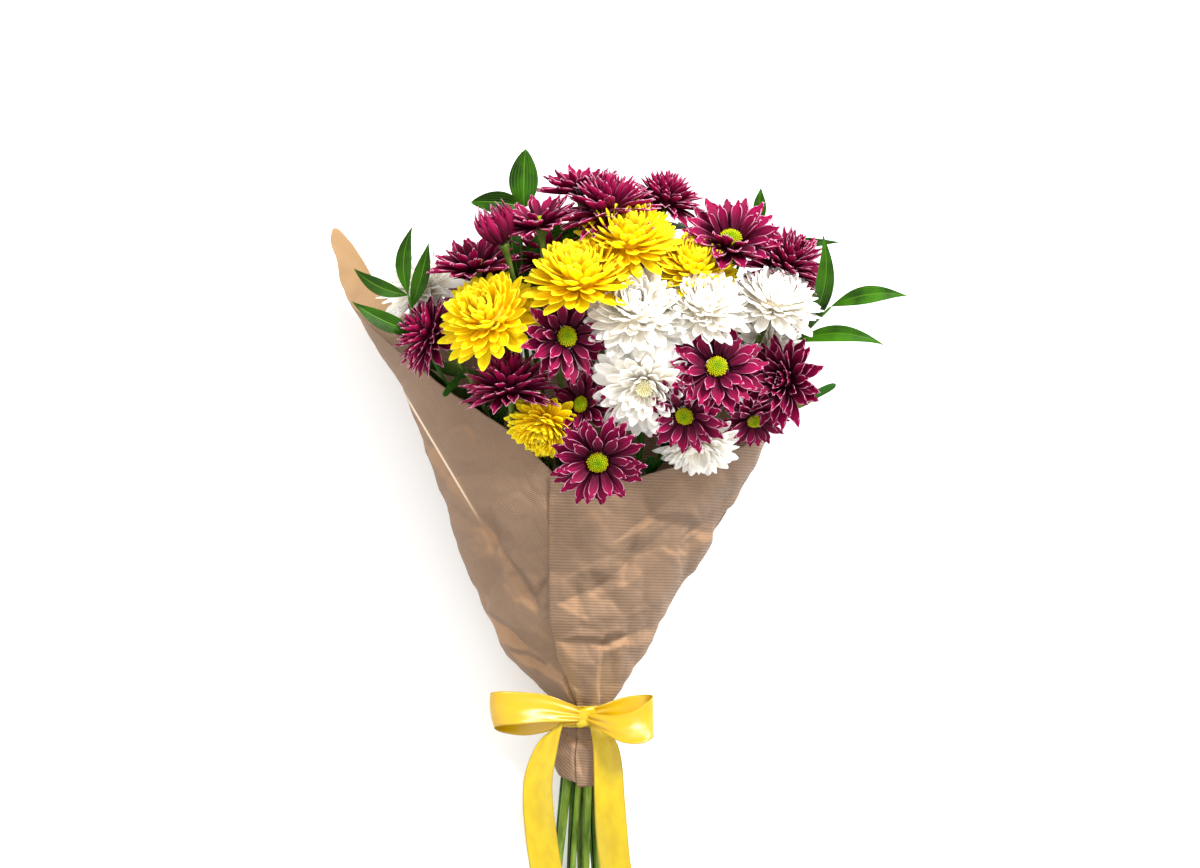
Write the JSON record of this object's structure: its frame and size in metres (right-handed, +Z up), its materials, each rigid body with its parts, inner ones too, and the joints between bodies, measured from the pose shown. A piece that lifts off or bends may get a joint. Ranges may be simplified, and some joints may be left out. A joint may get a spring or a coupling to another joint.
{
  "type": "chrysanthemum bouquet",
  "caption": "Hand-tied bouquet of magenta, yellow and white spray chrysanthemums with green foliage, in a kraft paper cone with a yellow satin bow, lying on its back.",
  "frame": {"origin": "middle of the flat spot that the paper rests on, 190 mm from the tie towards the flowers", "axes": "+Y along the stems from the cut ends to the flowers, +X across the bouquet to its right as seen from above with the flowers at the top, +Z up from the surface it lies on"},
  "size_m": [0.4353, 0.647, 0.2285],
  "materials": {
    "paper": "matt brown kraft paper with a fine rib",
    "ribbon": "bright yellow satin, smooth with soft highlights",
    "stem": "mid green stems and matt lobed leaves",
    "leaf": "glossy dark green leaves with fine parallel veins",
    "magenta_petals": "deep wine petals, paler at their edges",
    "yellow_petals": "bright yellow petals",
    "white_petals": "white petals, cream in their depths",
    "lime_disc": "lime green disc of florets",
    "cream_disc": "cream disc of florets"
  },
  "bodies": {
    "root": {"flower_back_left": "magenta_petals", "flower_back_middle": "magenta_petals", "flower_back_right": "magenta_petals", "flower_cream": "white_petals", "flower_far_right": "magenta_petals", "flower_far_upper_right": "magenta_petals", "flower_front": "magenta_petals", "flower_front_disc": "lime_disc", "flower_front_right": "magenta_petals", "flower_front_right_disc": "lime_disc", "flower_half_open": "magenta_petals", "flower_left": "magenta_petals", "flower_left_low": "magenta_petals", "flower_left_top": "magenta_petals", "flower_middle": "magenta_petals", "flower_middle_disc": "lime_disc", "flower_right": "magenta_petals", "flower_right_disc": "lime_disc", "flower_right_shaded": "magenta_petals", "flower_right_shaded_disc": "lime_disc", "flower_shaded": "magenta_petals", "flower_shaded_disc": "lime_disc", "flower_top": "magenta_petals", "flower_top_low": "magenta_petals", "flower_top_right": "magenta_petals", "flower_upper_left": "magenta_petals", "flower_upper_right": "magenta_petals", "flower_white_back": "white_petals", "flower_white_far_right": "white_petals", "flower_white_left": "white_petals", "flower_white_low": "white_petals", "flower_white_middle": "white_petals", "flower_white_open": "white_petals", "flower_white_open_disc": "cream_disc", "flower_white_right": "white_petals", "flower_yellow_left": "yellow_petals", "flower_yellow_low": "yellow_petals", "flower_yellow_right": "yellow_petals", "flower_yellow_shaded": "yellow_petals", "flower_yellow_top": "yellow_petals", "foliage_sprig_back": "leaf", "foliage_sprig_left": "leaf", "foliage_sprig_right": "leaf", "foliage_sprig_top": "leaf", "magenta_spray_back": "stem", "magenta_spray_left": "stem", "magenta_spray_middle": "stem", "magenta_spray_right": "stem", "magenta_spray_top": "stem", "magenta_spray_upper_left": "stem", "magenta_spray_upper_right": "stem", "paper_wrap": "paper", "satin_ribbon": "ribbon", "white_spray_back": "stem", "white_spray_middle": "stem", "white_spray_right": "stem", "yellow_spray_left": "stem", "yellow_spray_top": "stem"}
  },
  "joints": []
}
